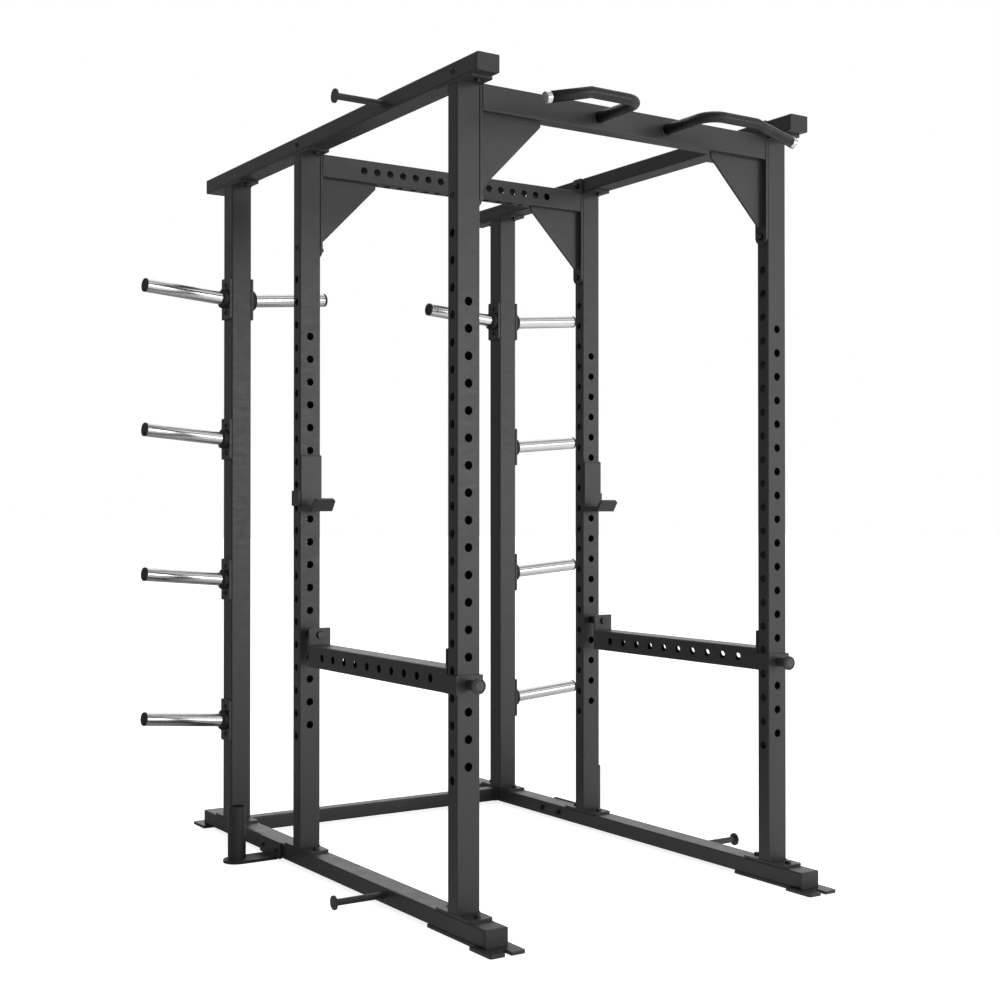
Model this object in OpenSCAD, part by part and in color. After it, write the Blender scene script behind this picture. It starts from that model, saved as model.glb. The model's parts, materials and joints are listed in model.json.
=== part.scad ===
// Power cage: six uprights on two base rails, with two top beams, two crossbeams,
// pull-up handles, plate horns, J-cups, safety bars, band pegs and bar holders.
// X runs across the cage, Y from front to back, Z up from the floor, in millimetres.
// Every part on the +X side is modelled once and mirrored for the -X side.

/* [Cage] */
// Overall height
cage_height = 2400; // [2200:10:2500]
// Distance between the left and right upright centres
upright_spacing = 1150; // [1100:5:1200]
// Front face of the front uprights to front face of the middle uprights
bay_depth = 980; // [900:5:1050]
// Front face of the middle uprights to front face of the rear uprights
storage_depth = 558; // [540:2:600]
// Thickness of the foot plates that the base rails stand on
foot_thickness = 10; // [6:0.5:12]

/* [Tubes] */
// Wide side of the rectangular tube
tube_wide = 75; // [75:1:80]
// Narrow side of the rectangular tube
tube_narrow = 50; // [50:1:60]
// Wall thickness of the frame tubes
tube_wall = 3; // [2:0.5:4]
// Outer corner radius of the frame tubes
tube_corner = 5; // [4:0.5:8]
// Thickness of flange, end and bracket plates
plate_thickness = 8; // [6:0.5:10]

/* [Accessory holes] */
// Diameter of the accessory holes
hole_d = 25; // [24:0.5:26]
// Distance between neighbouring accessory holes
hole_pitch = 75; // [70:1:80]
// Height of the lowest front-to-back hole
front_hole_start = 468; // [440:1:480]
// Number of front-to-back holes in each upright
front_hole_count = 18; // [12:1:18]
// Height of the lowest side-to-side hole
side_hole_start = 430.5; // [400:0.5:440]
// Number of side-to-side holes in each upright
side_hole_count = 21; // [12:1:21]

/* [Base] */
// How far the base rails run ahead of the front uprights
rail_front_overhang = 138; // [120:1:150]
// How far the base rails run behind the front face of the rear uprights
rail_rear_overhang = 249; // [240:1:260]
// Length of a foot plate
foot_length = 104; // [90:1:120]
// Width of a foot plate
foot_width = 113; // [100:1:130]
// Width of the anchor slot in a foot plate
foot_slot = 20; // [14:1:22]

/* [Top] */
// How far the top beams run ahead of the front uprights
beam_front_overhang = 97; // [80:1:110]
// How far the top beams run behind the front face of the rear uprights
beam_rear_overhang = 239; // [200:1:245]
// Reach of a gusset along its crossbeam
gusset_reach = 209; // [150:1:230]
// Height of the end plates below the top of the cage
end_plate_drop = 390; // [350:1:450]
// Distance between the holes in the middle crossbeam
beam_hole_pitch = 50; // [50:1:60]

/* [Pull-up handles] */
// Diameter of the handle tube
handle_d = 32; // [28:1:38]
// Distance of each handle root from the middle of the crossbeam
handle_root_x = 127; // [90:1:160]
// Reach of the grip ahead of the crossbeam
handle_reach = 198; // [150:1:210]
// Bend radius of the handle
handle_bend = 52; // [50:1:90]
// Where the grip starts to slope down, from the middle of the crossbeam
handle_slope_x = 304; // [260:1:330]
// Length of the sloping part of the grip
handle_slope_length = 159; // [100:1:180]
// Downward slope of the outer grip in degrees
handle_slope = 14; // [0:0.1:20]

/* [Plate horns] */
// Diameter of the chrome sleeve
horn_d = 48; // [40:0.5:50]
// Length of a horn from its plate to its tip
horn_length = 308; // [200:1:320]
// Upward tilt of a horn in degrees
horn_tilt = 4.8; // [0:0.1:8]
// Height of the lowest horn plate's centre
horn_start = 419; // [380:1:480]
// Distance between neighbouring horns
horn_pitch = 505; // [450:1:520]
// Number of outer horns on each rear upright
horn_levels = 4; // [2:1:4]

/* [Bar holders] */
// Outer diameter of the bar holder tube
holder_d = 60; // [58:1:70]
// Inner diameter of the bar holder tube
holder_bore = 55; // [52:0.5:56]
// Height of the bar holder's rim above the floor
holder_height = 185; // [120:1:250]
// Distance of the holder's axis from the centre line of the base rail
holder_offset = 165; // [140:1:180]
// Distance of the holder's axis behind the front uprights' front face
holder_y = 1192; // [1150:1:1250]

/* [Band pegs] */
// Diameter of a band peg
peg_d = 20; // [16:1:25]
// Length of a band peg
peg_length = 162; // [100:1:180]
// Distance of the pegs behind the front uprights' front face
peg_y = 419; // [380:1:480]

/* [J-cups] */
// Hole that the J-cup pin sits in, counted from the lowest
jcup_hole = 11; // [8:1:14]
// Clear depth of the cradle between back liner and lip
cradle_depth = 74; // [60:1:80]
// Height of the J-cup's back plate
jcup_height = 186; // [170:1:200]

/* [Safety bars] */
// Hole that the pull pin sits in, counted from the lowest
pull_hole = 3; // [2:1:6]
// Outer width of the safety bar
safety_width = 75; // [70:1:80]
// Height of the safety bar
safety_height = 70; // [60:1:75]
// Gap between the safety bar's rear plate and the middle upright
rear_gap = 65; // [50:1:90]
// Travel of the pull pin
pull_travel = 18; // [16:1:20]

/* [Hidden] */
$fn = 48;

bolt_r = 5;
bolt_hole_r = 5.5;
run_clearance = 0.08;
seat_gap = 0.5;

side_x = upright_spacing / 2;
outer_x = side_x + tube_wide / 2;
inner_x = side_x - tube_wide / 2;

cap_r = handle_d / 2 + 0.5;
front_reach = handle_reach + cap_r;
plug_face = 8;
plug_round = 4;
plug_inset = plug_face - 3;
foot_overhang_front = 59;
foot_overhang_rear = 62;
rear_face = bay_depth + storage_depth;
rear_reach = rear_face + rail_rear_overhang + foot_overhang_rear;
front_y = (front_reach - rear_reach) / 2;
middle_y = front_y + bay_depth;
rear_y = front_y + rear_face;

rail_top = foot_thickness + tube_narrow;
post_foot = rail_top + plate_thickness;
beam_bottom = cage_height - tube_narrow;
post_top = beam_bottom - plate_thickness;
beam_mid = cage_height - tube_narrow / 2;
rail_mid = foot_thickness + tube_narrow / 2;
cross_mid = beam_bottom - tube_wide / 2;
cross_half = inner_x - plate_thickness;

flange_overlap = 68;
flange_bolt_inset = 23;
post_rows = [[front_y, tube_narrow], [middle_y, tube_narrow], [rear_y, tube_wide]];

horn_plate_height = 148;
horn_bolt_spacing = 100;
collar_d = 71;
collar_length = 18;
horn_cap_d = horn_d + 0.4;
horn_neck = 1.5;
horn_cap_length = 10;

jcup_z = front_hole_start + jcup_hole * hole_pitch;
jcup_plate = 6;
jcup_shelf = 8;
liner_back = 4;
liner_shelf = 10;
jcup_bottom = jcup_z - 125;
jcup_back_y = middle_y - seat_gap;
jcup_face_y = jcup_back_y - jcup_plate;
lip_plate = 8;
lip_lean = 35;
lip_length = 46;
lip_liner = 6;
lip_root = lip_plate / cos(lip_lean);
lip_y = jcup_face_y - liner_back - cradle_depth - lip_liner - lip_root
  + (jcup_shelf + liner_shelf) * tan(lip_lean);
tab_height = 50;
tab_start = 18;
pin_r = hole_d / 2 - 0.1;

pull_z = front_hole_start + pull_hole * hole_pitch;
safety_bottom = pull_z - 28;
cheek = 5;
safety_rear_y = middle_y - rear_gap - plate_thickness;
safety_plate_y = front_y + tube_narrow + seat_gap;
safety_front_y = safety_plate_y + plate_thickness;
safety_plate_width = tube_wide + 2 * seat_gap;
collar_height = 52;
collar_front_y = front_y - seat_gap - 6;
tab_rise = 55;
hook_z = pull_z + hole_pitch;

barrel_d = 28;
barrel_length = 36;
plunger_r = 11;
stem_r = 5;
plunger_reach = 16;
spring_wire = 1.4;
knob_d = 44;
knob_length = 14;

coat = [0.2, 0.2, 0.205];
coat_dark = [0.12, 0.12, 0.125];
bright = [0.82, 0.83, 0.84];
rubber_black = [0.08, 0.08, 0.085];
zinc = [0.3, 0.3, 0.31];

// ---- helpers -------------------------------------------------------------

// Rectangle with rounded corners, centred on the origin.
module rounded_rect(w, h, r) {
  square([w - 2 * r, h], center = true);
  square([w, h - 2 * r], center = true);
  for (x = [-1, 1], y = [-1, 1])
    translate([x * (w / 2 - r), y * (h / 2 - r)]) circle(r);
}

// Section of a rectangular tube.
module tube_section(w, h, wall = tube_wall) {
  difference() {
    rounded_rect(w, h, tube_corner);
    rounded_rect(w - 2 * wall, h - 2 * wall, tube_corner - wall);
  }
}

// The same shape on the +X side and mirrored on the -X side.
module both_sides() {
  children();
  mirror([1, 0, 0]) children();
}

module left_side() {
  mirror([1, 0, 0]) children();
}

// Tube that stands along Z.
module tube_z(w, h, z0, z1, wall = tube_wall) {
  translate([0, 0, z0]) linear_extrude(z1 - z0) tube_section(w, h, wall);
}

// Tube that runs along Y, w across X and h along Z.
module tube_y(w, h, y0, y1, wall = tube_wall) {
  translate([0, y1, 0]) rotate([90, 0, 0]) linear_extrude(y1 - y0) tube_section(w, h, wall);
}

// Tube that runs along X, w along Y and h along Z.
module tube_x(w, h, x0, x1, wall = tube_wall) {
  translate([x0, 0, 0]) rotate([90, 0, 90]) linear_extrude(x1 - x0) tube_section(w, h, wall);
}

// Cylinder along X, Y or Z from its start point.
module rod_x(r, length) {
  rotate([0, 90, 0]) cylinder(r = r, h = length);
}

module rod_y(r, length) {
  rotate([-90, 0, 0]) cylinder(r = r, h = length);
}

// Plate in the XZ plane whose back face is at y = 0 and front face at -t.
module plate_xz(t) {
  rotate([90, 0, 0]) linear_extrude(t) children();
}

// Plate in the YZ plane from x = 0 to x = t, its outline drawn as (Y, Z).
module plate_yz(t) {
  rotate([90, 0, 90]) linear_extrude(t) children();
}

// Low domed head that sits on the plane z = 0.
module dome(r, height) {
  ball = (r * r + height * height) / (2 * height);
  intersection() {
    translate([0, 0, height - ball]) sphere(ball);
    cylinder(r = r + 1, h = height + 1);
  }
}

// Button head bolt along -Z, its head on z = 0.
module button_bolt(shank) {
  difference() {
    dome(10, 6);
    translate([0, 0, 3]) cylinder(r = 3.4, h = 4, $fn = 6);
  }
  translate([0, 0, -shank]) cylinder(r = bolt_r, h = shank + 0.5);
}

// Domed nut with its washer on the plane z = 0, closed at the outer end.
module dome_nut() {
  difference() {
    union() {
      cylinder(r = 11, h = 1.6);
      translate([0, 0, 1.5]) cylinder(r = 9.2, h = 6, $fn = 6);
      translate([0, 0, 7.4]) dome(8, 8);
    }
    translate([0, 0, -1]) cylinder(r = bolt_r + run_clearance, h = 12);
  }
}

// Hexagon bolt along -Z with a washer under its head.
module hex_bolt(shank, head_r = 9.2) {
  cylinder(r = head_r + 2, h = 1.6);
  translate([0, 0, 1.6]) cylinder(r = head_r, h = 6.4, $fn = 6);
  translate([0, 0, -shank]) cylinder(r = bolt_r, h = shank + 0.5);
}

// ---- base ----------------------------------------------------------------

rail_y0 = front_y - rail_front_overhang;
rail_y1 = rear_y + rail_rear_overhang;

// Y positions of the two bolts in the flange plate of one upright row.
function flange_bolt_ys(row) = [
  row[0] - flange_overlap + flange_bolt_inset,
  row[0] + row[1] + flange_overlap - flange_bolt_inset
];

holder_world_y = front_y + holder_y;
holder_bolt_ys = [holder_world_y - 54, holder_world_y + 54];

module base_rail() {
  color(coat) difference() {
    translate([side_x, 0, rail_mid])
      tube_y(tube_wide, tube_narrow, rail_y0 + plug_inset, rail_y1 - plug_inset);
    for (row = post_rows, y = flange_bolt_ys(row))
      translate([side_x, y, rail_mid]) cylinder(r = bolt_hole_r, h = tube_narrow);
    for (y = holder_bolt_ys)
      translate([inner_x - 1, y, rail_mid]) rod_x(bolt_hole_r, tube_wide + 2);
  }
}

module rear_crossmember() {
  color(coat) translate([0, rear_y + tube_wide - tube_narrow / 2, rail_mid])
    tube_x(tube_narrow, tube_narrow, -inner_x, inner_x);
}

module foot_outline() {
  difference() {
    union() {
      translate([-foot_width / 2, 0]) square([foot_width, foot_length - 8]);
      translate([-foot_width / 2 + 8, 0]) square([foot_width - 16, foot_length]);
      for (x = [-1, 1]) translate([x * (foot_width / 2 - 8), foot_length - 8]) circle(8);
    }
    translate([-foot_slot / 2, foot_length - 25]) square([foot_slot, 30]);
    translate([0, foot_length - 25]) circle(foot_slot / 2);
  }
}

module foot_plates() {
  color(coat) both_sides() {
    translate([side_x, rail_y0 - foot_overhang_front + foot_length, 0])
      rotate(180) linear_extrude(foot_thickness) foot_outline();
    translate([side_x - tube_wide / 2, rail_y0 - foot_overhang_front + foot_length, 0])
      cube([tube_wide, 253, foot_thickness]);
    translate([side_x, rail_y1 + foot_overhang_rear - foot_length, 0])
      linear_extrude(foot_thickness) foot_outline();
  }
}

// Outline of a plug's face from above, its front corners rounded.
module plug_plan(r) {
  translate([-tube_wide / 2 + r, 0]) square([tube_wide - 2 * r, plug_face]);
  translate([-tube_wide / 2 - 1, r]) square([tube_wide + 2, plug_face - r]);
  for (s = [-1, 1]) translate([s * (tube_wide / 2 - r), r]) circle(r);
}

// Moulded plug that closes a rectangular tube: a thick face and a hollow stem.
module end_plug() {
  intersection() {
    linear_extrude(plug_face) rounded_rect(tube_wide, tube_narrow, tube_corner);
    rotate([90, 0, 0]) linear_extrude(tube_narrow + 2, center = true) plug_plan(plug_round);
  }
  translate([0, 0, plug_face - 0.5]) linear_extrude(16) difference() {
    rounded_rect(tube_wide - 2 * tube_wall - 0.4, tube_narrow - 2 * tube_wall - 0.4, 2);
    rounded_rect(tube_wide - 2 * tube_wall - 6, tube_narrow - 2 * tube_wall - 6, 2);
  }
}

module plug_pair(y0, y1, z) {
  both_sides() {
    translate([side_x, y0 - plug_face, z]) rotate([-90, 0, 0]) end_plug();
    translate([side_x, y1 + plug_face, z]) rotate([90, 0, 0]) end_plug();
  }
}

module rail_end_caps() {
  color(rubber_black) plug_pair(rail_y0 + plug_inset, rail_y1 - plug_inset, rail_mid);
}

// ---- uprights ------------------------------------------------------------

module accessory_holes() {
  for (k = [0:front_hole_count - 1])
    translate([0, -tube_narrow, front_hole_start + k * hole_pitch])
      rod_y(hole_d / 2, 2 * tube_narrow);
  for (k = [0:side_hole_count - 1])
    translate([-tube_wide, 0, side_hole_start + k * hole_pitch])
      rod_x(hole_d / 2, 2 * tube_wide);
}

bolt_drop = cage_height - end_plate_drop + tube_narrow / 2;

module perforated_upright(y) {
  color(coat) translate([side_x, y + tube_narrow / 2, 0]) difference() {
    tube_z(tube_wide, tube_narrow, post_foot, post_top);
    accessory_holes();
    translate([-tube_wide, 0, bolt_drop]) rod_x(bolt_hole_r, 2 * tube_wide);
  }
}

module rear_upright() {
  color(coat) translate([side_x, rear_y + tube_wide / 2, 0]) difference() {
    tube_z(tube_wide, tube_wide, post_foot, post_top);
    for (k = [0:horn_levels - 1], s = [-1, 1])
      translate([0, 0, horn_start + k * horn_pitch + s * horn_bolt_spacing / 2])
        rod_x(bolt_hole_r, tube_wide);
    for (s = [-1, 1])
      translate([-tube_wide, 0, horn_top_z + s * horn_bolt_spacing / 2])
        rod_x(bolt_hole_r, tube_wide);
  }
}

module flange_outline(depth) {
  rounded_rect(tube_wide, depth + 2 * flange_overlap, 8);
}

module flange_plates(z) {
  both_sides() for (row = post_rows) difference() {
    translate([side_x, row[0] + row[1] / 2, z])
      linear_extrude(plate_thickness) flange_outline(row[1]);
    for (y = flange_bolt_ys(row))
      translate([side_x, y, z - 1]) cylinder(r = bolt_hole_r, h = plate_thickness + 2);
  }
}

module base_flange_plates() {
  color(coat) flange_plates(rail_top);
}

module top_flange_plates() {
  color(coat) flange_plates(post_top);
}

module flange_bolts() {
  color(zinc) both_sides() for (row = post_rows, y = flange_bolt_ys(row)) {
    translate([side_x, y, post_foot]) hex_bolt(plate_thickness + tube_wall + 9);
    translate([side_x, y, post_top]) rotate([180, 0, 0])
      hex_bolt(plate_thickness + tube_wall + 9);
  }
}

// ---- top -----------------------------------------------------------------

beam_y0 = front_y - beam_front_overhang;
beam_y1 = rear_y + beam_rear_overhang;
cross_ys = [front_y + tube_narrow / 2, middle_y + tube_narrow / 2];

module top_beam() {
  color(coat) difference() {
    translate([side_x, 0, beam_mid])
      tube_y(tube_wide, tube_narrow, beam_y0 + plug_inset, beam_y1 - plug_inset);
    for (row = post_rows, y = flange_bolt_ys(row))
      translate([side_x, y, beam_bottom - 1]) cylinder(r = bolt_hole_r, h = tube_narrow / 2);
    for (y = cross_ys)
      translate([inner_x - 1, y, beam_mid]) rod_x(bolt_hole_r, tube_wide + 2);
  }
}

module beam_end_caps() {
  color(rubber_black) plug_pair(beam_y0 + plug_inset, beam_y1 - plug_inset, beam_mid);
}

module crossbeam(y) {
  translate([0, y, cross_mid]) tube_x(tube_narrow, tube_wide, -cross_half, cross_half);
}

module front_crossbeam() {
  color(coat) crossbeam(cross_ys[0]);
}

module middle_crossbeam() {
  color(coat) difference() {
    crossbeam(cross_ys[1]);
    for (k = [-7.5:1:7.5])
      translate([k * beam_hole_pitch, middle_y - 1, cross_mid])
        rod_y(hole_d / 2, tube_narrow + 2);
    for (k = [-6.5:1:6.5])
      translate([k * beam_hole_pitch, cross_ys[1], cross_mid - tube_wide])
        cylinder(r = hole_d / 2, h = 2 * tube_wide);
  }
}

// Tall plate welded on each crossbeam end and bolted to the beam and the upright.
module end_plate_outline() {
  half = tube_narrow / 2;
  low = cage_height - end_plate_drop;
  difference() {
    union() {
      translate([-half, low + half]) square([tube_narrow, end_plate_drop - half - 6]);
      translate([-half + 6, low + half]) square([tube_narrow - 12, end_plate_drop - half]);
      for (s = [-1, 1]) translate([s * (half - 6), cage_height - 6]) circle(6);
      translate([0, low + half]) circle(half);
    }
    for (z = [bolt_drop, beam_mid]) translate([0, z]) circle(bolt_hole_r);
  }
}

module crossbeam_end_plates() {
  color(coat) both_sides() for (y = cross_ys)
    translate([cross_half, y, 0]) plate_yz(plate_thickness) end_plate_outline();
}

module crossbeam_gussets() {
  top = beam_bottom - tube_wide;
  blunt = 15;
  color(coat) both_sides() for (y = cross_ys)
    translate([0, y + plate_thickness / 2, 0]) plate_xz(plate_thickness)
      polygon([
        [cross_half - gusset_reach, top], [cross_half, top],
        [cross_half, top - gusset_reach], [cross_half - blunt, top - gusset_reach],
        [cross_half - gusset_reach, top - blunt]
      ]);
}

module crossbeam_bolts() {
  reach = tube_wide + plate_thickness + 10;
  color(zinc) both_sides() for (y = cross_ys, z = [bolt_drop, beam_mid])
    translate([outer_x, y, z]) rotate([0, 90, 0]) button_bolt(reach);
}

module crossbeam_nuts() {
  color(zinc) both_sides() for (y = cross_ys, z = [bolt_drop, beam_mid])
    translate([cross_half, y, z]) rotate([0, -90, 0]) dome_nut();
}

// ---- pull-up handles -----------------------------------------------------

slope_x = handle_slope_length * cos(handle_slope);
slope_drop = handle_slope_length * sin(handle_slope);
handle_turn_x = handle_root_x + handle_bend;
grip_y = front_y - handle_reach;
handle_cap_length = 16;
knee_swell = 0.15;

// Handle bar: straight root, quarter bend, straight grip, sloping grip.
module pullup_handle() {
  r = handle_d / 2;
  color(coat_dark) translate([0, 0, cross_mid]) {
    translate([handle_root_x, grip_y + handle_bend, 0]) rod_y(r, handle_reach - handle_bend);
    translate([handle_turn_x, grip_y + handle_bend, 0]) rotate(180)
      rotate_extrude(angle = 90) translate([handle_bend, 0]) circle(r);
    translate([handle_turn_x, grip_y, 0]) rod_x(r, handle_slope_x - handle_turn_x);
    translate([handle_slope_x, grip_y, 0]) sphere(r + knee_swell);
    translate([handle_slope_x, grip_y, 0]) rotate([0, handle_slope, 0])
      rod_x(r, handle_slope_length - handle_cap_length);
  }
}

module handle_end_caps() {
  color(bright) both_sides() translate([handle_slope_x, grip_y, cross_mid])
    rotate([0, handle_slope, 0]) translate([handle_slope_length - handle_cap_length, 0, 0])
      rotate([0, 90, 0]) rotate_extrude() polygon([
        [0, 0], [cap_r, 0], [cap_r, handle_cap_length - 1.5],
        [cap_r - 1.5, handle_cap_length], [0, handle_cap_length]
      ]);
}

// ---- plate horns ---------------------------------------------------------

horn_top_z = horn_start + (horn_levels - 1) * horn_pitch;
horn_y = rear_y + tube_wide / 2;

// Puts a horn part on every outer face and, at the top level, on the inner faces.
module at_every_horn() {
  both_sides() {
    for (k = [0:horn_levels - 1])
      translate([outer_x, horn_y, horn_start + k * horn_pitch]) children();
    translate([inner_x, horn_y, horn_top_z]) mirror([1, 0, 0]) children();
  }
}

// Frame of the tilted horn, with +Z along its axis from the wall.
module along_horn(start) {
  translate([plate_thickness, 0, 0]) rotate([0, 90 - horn_tilt, 0])
    translate([0, 0, start]) children();
}

module horn_plates() {
  color(coat) at_every_horn() difference() {
    plate_yz(plate_thickness) rounded_rect(tube_wide, horn_plate_height, 6);
    for (s = [-1, 1]) translate([-1, 0, s * horn_bolt_spacing / 2])
      rod_x(bolt_hole_r, plate_thickness + 2);
  }
}

// Rubber stop collar, cut flat where it meets the plate.
module horn_collars() {
  neck_r = horn_d / 2 - horn_neck;
  color(rubber_black) at_every_horn() difference() {
    along_horn(-6) rotate_extrude() polygon([
      [neck_r, 0], [collar_d / 2, 0], [collar_d / 2, collar_length + 3],
      [collar_d / 2 - 3, collar_length + 6], [neck_r, collar_length + 6]
    ]);
    translate([plate_thickness - 20, -60, -60]) cube([20, 120, 120]);
  }
}

// Chrome tube with a neck for the collar, cut flat where it is welded to the plate.
module horn_sleeves() {
  color(bright) at_every_horn() difference() {
    along_horn(-6) difference() {
      union() {
        cylinder(r = horn_d / 2 - horn_neck, h = horn_length - horn_cap_length + 6);
        translate([0, 0, collar_length + 6])
          cylinder(r = horn_d / 2, h = horn_length - horn_cap_length - collar_length);
      }
      translate([0, 0, -1]) cylinder(r = horn_d / 2 - 3, h = horn_length + 10);
    }
    translate([plate_thickness - 20, -60, -60]) cube([20, 120, 120]);
  }
}

module horn_end_caps() {
  inner = horn_d / 2 - 3.2;
  color(rubber_black) at_every_horn() along_horn(horn_length - horn_cap_length)
    rotate_extrude() polygon([
      [0, -22], [inner, -22], [inner, 0], [horn_cap_d / 2, 0],
      [horn_cap_d / 2, horn_cap_length - 3], [horn_cap_d / 2 - 3, horn_cap_length],
      [0, horn_cap_length]
    ]);
}

module horn_bolts() {
  color(zinc) at_every_horn() for (s = [-1, 1])
    translate([plate_thickness, 0, s * horn_bolt_spacing / 2]) rotate([0, 90, 0])
      button_bolt(plate_thickness + tube_wall + 12);
}

// ---- band pegs -----------------------------------------------------------

module band_pegs() {
  color(coat_dark) both_sides() for (z = [rail_mid, beam_mid])
    translate([outer_x, front_y + peg_y, z]) rotate([0, 90, 0]) {
      cylinder(r = peg_d / 2, h = peg_length - 3);
      translate([0, 0, peg_length - 6]) cylinder(r = 21, h = 6);
    }
}

// ---- bar holders ---------------------------------------------------------

holder_x = side_x + holder_offset;

module bar_holder_brackets() {
  color(coat) both_sides() {
    difference() {
      translate([outer_x, holder_world_y, 35]) plate_yz(plate_thickness)
        rounded_rect(166, 56, 10);
      for (y = holder_bolt_ys)
        translate([outer_x - 1, y, rail_mid]) rod_x(bolt_hole_r, plate_thickness + 2);
    }
    linear_extrude(foot_thickness) difference() {
      union() {
        translate([outer_x, holder_world_y - 45]) square([holder_x - outer_x, 90]);
        translate([holder_x, holder_world_y]) circle(45);
      }
    }
  }
}

module bar_holder_tube() {
  color(coat) translate([holder_x, holder_world_y, foot_thickness]) difference() {
    cylinder(r = holder_d / 2, h = holder_height - foot_thickness, $fn = 64);
    translate([0, 0, -1]) cylinder(r = holder_bore / 2, h = holder_height, $fn = 64);
  }
}

module holder_bolts() {
  color(zinc) both_sides() for (y = holder_bolt_ys) {
    translate([outer_x + plate_thickness, y, rail_mid]) rotate([0, 90, 0])
      button_bolt(tube_wide + plate_thickness + 10);
    translate([inner_x, y, rail_mid]) rotate([0, -90, 0]) dome_nut();
  }
}

// ---- J-cups --------------------------------------------------------------

module jcup_lip(t, length, width) {
  linear_extrude(t) {
    translate([-width / 2, 0]) square([width, length - 10]);
    translate([-width / 2 + 10, 0]) square([width - 20, length]);
    for (s = [-1, 1]) translate([s * (width / 2 - 10), length - 10]) circle(10);
  }
}

// Bent steel J-cup: back plate, shelf, leaning lip and one tab round the upright.
module jcup() {
  color(coat) translate([side_x, 0, jcup_bottom]) {
    translate([0, jcup_back_y, 0]) plate_xz(jcup_plate) {
      translate([-tube_wide / 2, 0]) square([tube_wide, jcup_height - 6]);
      translate([-tube_wide / 2 + 6, 0]) square([tube_wide - 12, jcup_height]);
      for (s = [-1, 1])
        translate([s * (tube_wide / 2 - 6), jcup_height - 6]) circle(6);
      translate([0, tab_start]) square([tube_wide / 2 + seat_gap + 7, tab_height]);
    }
    translate([tube_wide / 2 + seat_gap, jcup_back_y - jcup_plate, tab_start])
      cube([7, tube_narrow + jcup_plate - 4, tab_height]);
    translate([-tube_wide / 2, lip_y + 2, 0])
      cube([tube_wide, jcup_back_y - lip_y - 2, jcup_shelf]);
    translate([0, lip_y + lip_plate * cos(lip_lean), lip_plate * sin(lip_lean)])
      rotate([90 + lip_lean, 0, 0]) jcup_lip(lip_plate, lip_length, tube_wide - 1);
  }
}

// Inner face of the lip at height z above the bottom of the shelf.
function lip_face(z) = lip_y + lip_root - z * tan(lip_lean);

// Moulded liner on the back, the shelf and the lip.
module jcup_liner() {
  back = jcup_face_y - liner_back;
  low = jcup_shelf;
  bed = jcup_shelf + liner_shelf;
  tip = jcup_shelf + 25;
  top = jcup_height - 3;
  color(rubber_black) translate([side_x - 37, 0, jcup_bottom]) plate_yz(74)
    polygon([
      [jcup_face_y, low], [jcup_face_y, top], [back + 2, top], [back, top - 2],
      [back, bed], [lip_face(bed) + lip_liner, bed], [lip_face(tip) + lip_liner, tip],
      [lip_face(tip), tip], [lip_face(low), low]
    ]);
}

module jcup_pin() {
  color(zinc) translate([side_x, jcup_back_y, jcup_z]) rotate([-90, 0, 0])
    rotate_extrude() polygon([
      [0, 0], [pin_r, 0], [pin_r, 38], [pin_r - 3, 41], [0, 41]
    ]);
}

// ---- safety bars ---------------------------------------------------------

bar_hole_start = 84;

module safety_bar() {
  mid = safety_bottom + safety_height / 2;
  color(coat) translate([side_x, 0, mid]) difference() {
    tube_y(safety_width, safety_height, safety_front_y, safety_rear_y);
    for (k = [0:9])
      translate([-safety_width, safety_front_y + bar_hole_start + k * hole_pitch, 0])
        rod_x(hole_d / 2, 2 * safety_width);
  }
}

// Collar round the front upright and the tall plate welded on the bar's front end.
module safety_collar() {
  inner = tube_wide / 2 + seat_gap;
  z0 = pull_z - collar_height / 2;
  height = safety_height + tab_rise;
  color(coat) translate([side_x, 0, 0]) {
    for (x = [-inner - cheek, inner])
      translate([x, collar_front_y, z0])
        cube([cheek, safety_front_y - collar_front_y, collar_height]);
    difference() {
      translate([-inner - cheek, collar_front_y, z0])
        cube([2 * (inner + cheek), 6, collar_height]);
      translate([0, collar_front_y - 1, pull_z]) rod_y(plunger_r + run_clearance, 8);
    }
    translate([0, safety_front_y, 0]) plate_xz(plate_thickness)
      translate([0, safety_bottom + height / 2])
        rounded_rect(safety_plate_width, height, 3);
  }
}

module safety_rear_plates() {
  height = safety_height + tab_rise;
  color(coat) both_sides() translate([side_x, safety_rear_y + plate_thickness, 0])
    difference() {
      plate_xz(plate_thickness) translate([0, safety_bottom + height / 2])
        rounded_rect(safety_plate_width, height, 3);
      translate([0, -plate_thickness - 1, hook_z]) rod_y(bolt_hole_r, plate_thickness + 2);
    }
}

// Hook pin that stands in the middle upright, held by a hexagon bolt.
module safety_hook_pins() {
  reach = rear_gap + 40;
  color(zinc) both_sides() translate([side_x, safety_rear_y + plate_thickness, hook_z]) {
    rotate([-90, 0, 0]) rotate_extrude() polygon([
      [0, 0], [pin_r, 0], [pin_r, reach - 3], [pin_r - 3, reach], [0, reach]
    ]);
    translate([0, -plate_thickness, 0]) rotate([90, 0, 0]) hex_bolt(plate_thickness, 12);
  }
}

// ---- pull pins -----------------------------------------------------------

barrel_y = collar_front_y - barrel_length;

// Barrel welded on the collar: bore for the plunger, end wall for the stem.
module pull_pin_barrel() {
  color(coat) translate([side_x, collar_front_y, pull_z]) rotate([90, 0, 0]) difference() {
    union() {
      cylinder(r = barrel_d / 2, h = barrel_length - 1);
      translate([0, 0, 1]) cylinder(r = barrel_d / 2 - 1, h = barrel_length - 1);
    }
    translate([0, 0, -1]) cylinder(r = plunger_r + run_clearance, h = barrel_length - 3);
    cylinder(r = stem_r + run_clearance, h = barrel_length + 1);
  }
}

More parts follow.
